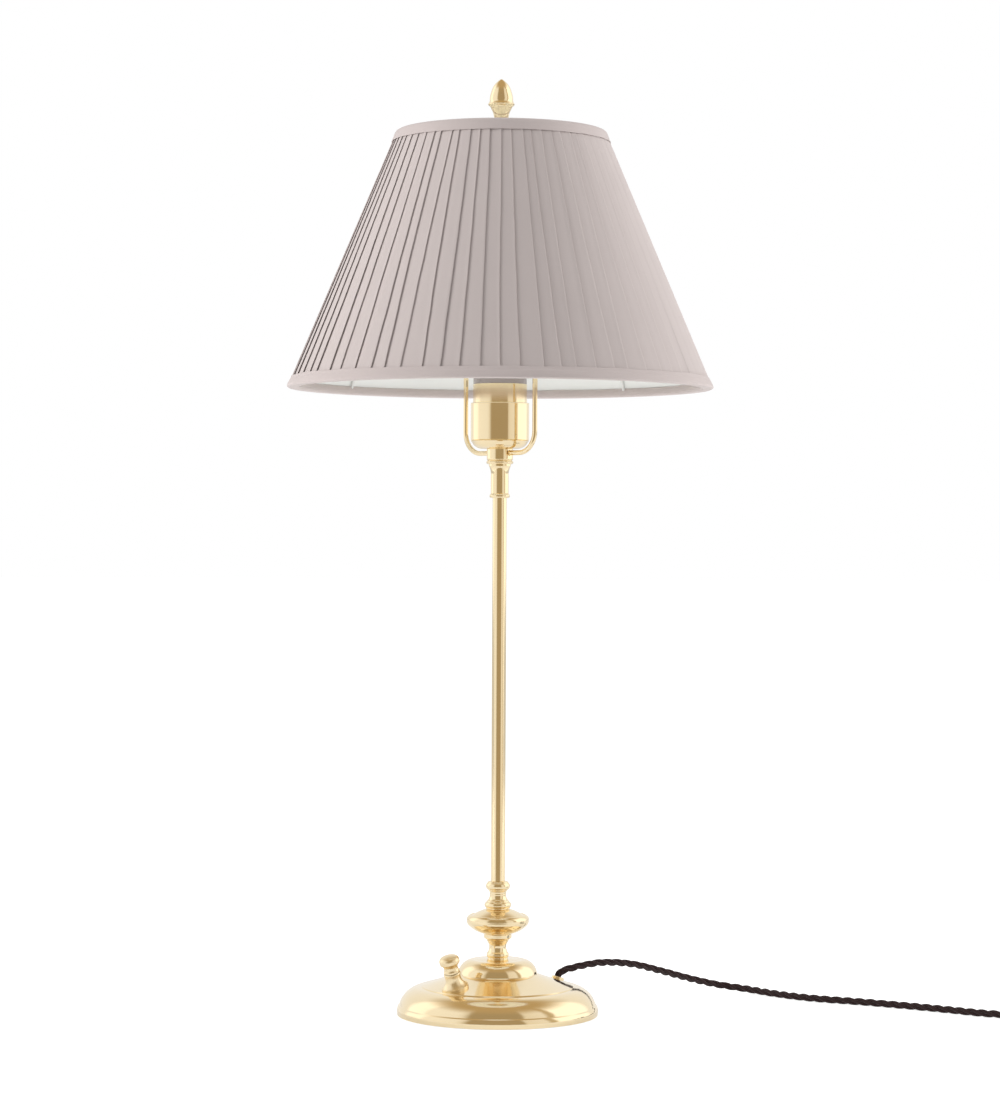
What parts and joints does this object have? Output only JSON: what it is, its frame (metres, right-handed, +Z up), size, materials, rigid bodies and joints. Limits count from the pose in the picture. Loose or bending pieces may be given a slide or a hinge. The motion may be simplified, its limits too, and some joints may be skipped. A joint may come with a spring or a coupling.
{
  "type": "table lamp",
  "caption": "Brass candlestick table lamp with a turned column, weighted round base, wire harp and pleated empire shade.",
  "frame": {"origin": "on the lamp's axis, at the face it stands on", "axes": "+Z up along the stem, -Y towards the front where the dimmer knob is, +X towards the side where the cord lies"},
  "size_m": [0.6199, 0.3035, 0.66],
  "materials": {
    "felt": "dark felt",
    "steel": "zinc-plated steel",
    "iron": "cast iron, painted",
    "brass": "polished and lacquered brass",
    "spindle_metal": "turned aluminium",
    "porcelain": null,
    "shell_metal": "bare pressed brass",
    "frame_wire": "white-coated steel wire",
    "lining": "white laminated lining",
    "pleat_cloth": "pinkish grey pleated cotton",
    "trim_cloth": "pinkish grey cotton band",
    "black_plastic": "moulded",
    "wire_plastic": "insulated single wires",
    "block_plastic": "moulded",
    "cord_textile": "dark brown twisted textile",
    "tie_strap": "woven strap",
    "plug_plastic": "dark brown moulded",
    "pin_metal": "nickel-plated brass"
  },
  "bodies": {
    "root": {"base_nut": "steel", "base_shell": "brass", "base_washer": "steel", "base_weight": "iron", "bottom_plate": "steel", "centre_contact": "shell_metal", "coil_tie": "tie_strap", "column_foot": "brass", "cord_coil": "cord_textile", "cord_gland": "brass", "cord_run": "cord_textile", "cord_stub": "cord_textile", "cord_tail": "cord_textile", "dimmer_body": "black_plastic", "dimmer_collar": "brass", "dimmer_wires": "wire_plastic", "felt_pad": "felt", "gland_nut": "steel", "harp": "brass", "harp_collar": "brass", "harp_stud": "brass", "holder_nut": "steel", "knop": "brass", "lampholder_core": "porcelain", "lampholder_cup": "brass", "lampholder_skirt": "brass", "neck_nut": "brass", "plate_screws": "steel", "plug_body": "plug_plastic", "plug_boot": "plug_plastic", "plug_earth_clips": "pin_metal", "plug_pins": "pin_metal", "screw_shell": "shell_metal", "stem_sleeve": "brass", "stem_tube": "brass", "stem_wires": "wire_plastic", "supply_wires": "wire_plastic", "terminal_block": "block_plastic", "terminal_screws": "steel", "upper_neck": "brass"},
    "shade": {"shade_spider": "frame_wire", "shade_top_ring": "frame_wire", "shade_bottom_ring": "frame_wire", "shade_struts": "frame_wire", "shade_backing": "lining", "pleated_cover": "pleat_cloth", "shade_top_trim": "trim_cloth", "shade_bottom_trim": "trim_cloth"},
    "finial": {"finial": "brass"},
    "knob": {"dimmer_knob": "brass", "dimmer_spindle": "spindle_metal"}
  },
  "joints": [
    {"name": "shade_turn", "type": "hinge", "parent": "root", "child": "shade", "pos_m": [0, 0, 0.6206], "axis": [0, 0, 1], "continuous": true},
    {"name": "finial_turn", "type": "hinge", "parent": "root", "child": "finial", "pos_m": [0, 0, 0.6216], "axis": [0, 0, 1], "continuous": true},
    {"name": "dimmer_turn", "type": "hinge", "parent": "root", "child": "knob", "pos_m": [-0.02947, -0.03308, 0.02358], "axis": [-0.2027, -0.2276, 0.9524], "range_deg": [-300, 0]}
  ]
}
